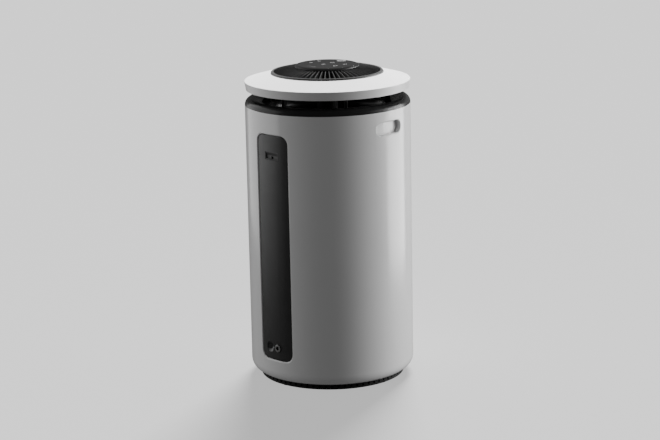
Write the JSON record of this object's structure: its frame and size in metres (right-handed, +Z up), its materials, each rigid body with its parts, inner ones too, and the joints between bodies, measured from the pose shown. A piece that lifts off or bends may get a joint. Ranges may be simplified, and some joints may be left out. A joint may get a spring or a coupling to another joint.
{
  "type": "air purifier",
  "caption": "Free-standing cylindrical room air purifier with a floating top ring over an all-round outlet gap, a radial grille, a touch control cap and a bottom filter.",
  "frame": {"origin": "middle of the footprint, on the floor under the rubber feet", "axes": "+Z up along the cylinder; the user stands at -Y, the service panel faces +Y and the hand grips face -X and +X"},
  "size_m": [0.25, 0.25, 0.4799],
  "materials": {
    "white_gloss": "polished white shell plastic",
    "white_satin": "fine satin white plastic",
    "black_gloss": "polished black plastic",
    "black_matte": "textured black plastic",
    "panel_dark": "semi-gloss dark grey plastic",
    "grille_dark": "satin charcoal plastic",
    "cap_dark": "smooth charcoal touch surface",
    "trim_dark": "smoked chrome trim",
    "button_light": "translucent light grey plastic",
    "icon_print": "light grey printed film",
    "sensor_grey": "satin grey plastic",
    "rubber_black": "soft black rubber",
    "jack_metal": "satin nickel",
    "pin_brass": "plated brass",
    "lens_clear": "clear light pipe",
    "steel": "zinc plated steel",
    "filter_paper": "pleated filter paper",
    "carbon": "activated carbon fleece",
    "mesh_grey": "woven nylon mesh",
    "foam_grey": "closed-cell foam",
    "tab_fabric": "woven tape",
    "duct_grey": "moulded structural plastic",
    "fan_white": "moulded fan plastic",
    "motor_can": "enamelled motor can",
    "bearing_chrome": "polished bearing steel",
    "board_green": "solder-masked circuit board",
    "component_black": "moulded components",
    "lead_white": "insulated lead"
  },
  "bodies": {
    "housing": {"outer_shell": "white_gloss", "grip_cup_left": "white_gloss", "grip_cup_right": "white_gloss", "top_ring": "white_satin", "outlet_bowl": "black_gloss", "base_plinth": "black_matte", "rubber_feet": "rubber_black", "base_screws": "steel", "filter_bottom_cap": "duct_grey", "filter_media": "filter_paper", "carbon_core": "carbon", "prefilter_mesh": "mesh_grey", "filter_top_cap": "duct_grey", "filter_seal": "foam_grey", "filter_pull_tab": "tab_fabric", "inner_frame": "duct_grey", "fan_deck": "duct_grey", "deck_screws": "steel", "fan_housing": "duct_grey", "housing_screws": "steel", "fan_motor": "motor_can", "motor_bearings": "bearing_chrome", "motor_screws": "steel", "fan_diffuser": "black_matte", "centre_column": "black_matte", "head_pillars": "black_matte", "top_tray": "black_matte", "outlet_grille": "grille_dark", "head_screws": "steel", "control_cap": "cap_dark", "cap_trim_ring": "trim_dark", "button_spring": "steel", "power_switch": "component_black", "control_board": "board_green", "touch_icons": "icon_print", "head_ribbon_cable": "lead_white", "service_panel": "panel_dark", "sensor_bezel": "sensor_grey", "particle_sensor": "component_black", "sensor_lead": "lead_white", "jack_collar": "jack_metal", "jack_socket": "component_black", "jack_pin": "pin_brass", "status_lens": "lens_clear", "reset_switch": "component_black", "main_board": "board_green", "board_components": "component_black", "board_standoffs": "steel"},
    "filter_door": {"filter_cover": "black_matte"},
    "rotor": {"impeller": "fan_white", "motor_shaft": "steel", "impeller_nut": "steel"},
    "power_key": {"power_button": "button_light"},
    "reset_key": {"reset_button": "black_matte"}
  },
  "joints": [
    {"name": "impeller_spin", "type": "hinge", "parent": "housing", "child": "rotor", "pos_m": [0, 0, 0.31], "axis": [0, 0, 1], "continuous": true},
    {"name": "filter_cover_twist", "type": "hinge", "parent": "housing", "child": "filter_door", "pos_m": [0, 0, 0.005], "axis": [0, 0, 1], "range_deg": [0, 30]},
    {"name": "power_button_press", "type": "slide", "parent": "housing", "child": "power_key", "axis": [0, 0, -1], "range_m": [0, 0.0012], "stiffness_N_per_m": 600, "deforming": ["button_spring"]},
    {"name": "reset_button_press", "type": "slide", "parent": "housing", "child": "reset_key", "axis": [0, -1, 0], "range_m": [0, 0.001], "stiffness_N_per_m": 600}
  ]
}
